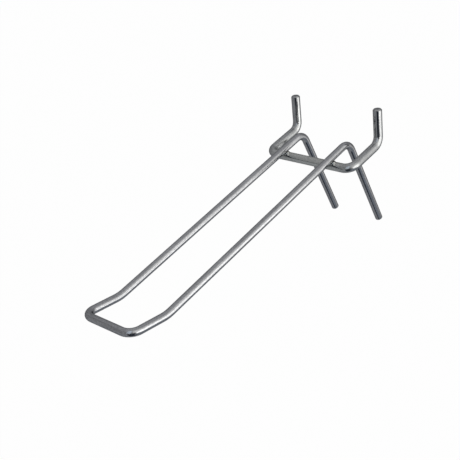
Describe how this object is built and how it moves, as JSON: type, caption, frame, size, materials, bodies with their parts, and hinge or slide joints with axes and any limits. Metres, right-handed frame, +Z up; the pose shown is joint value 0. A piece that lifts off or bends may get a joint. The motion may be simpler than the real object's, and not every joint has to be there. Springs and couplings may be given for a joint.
{
  "type": "double hook",
  "caption": "Double display hook of plated wire: a long loop with an upturned front, welded on a bent crossbar wire whose prongs hook behind a perforated board.",
  "frame": {"origin": "on the front face of the board, midway between the centres of the two holes that the prongs go through", "axes": "+Y into the board, square to its front face; +Z up the board; +X along the row of holes, so the arms reach out towards -Y and rise"},
  "size_m": [0.0552, 0.1678, 0.0891],
  "materials": {
    "plated_steel": "bright plating over drawn steel wire, with faint lines along the wire"
  },
  "bodies": {
    "root": {"hook_wire": "plated_steel", "mounting_wire": "plated_steel"}
  },
  "joints": []
}
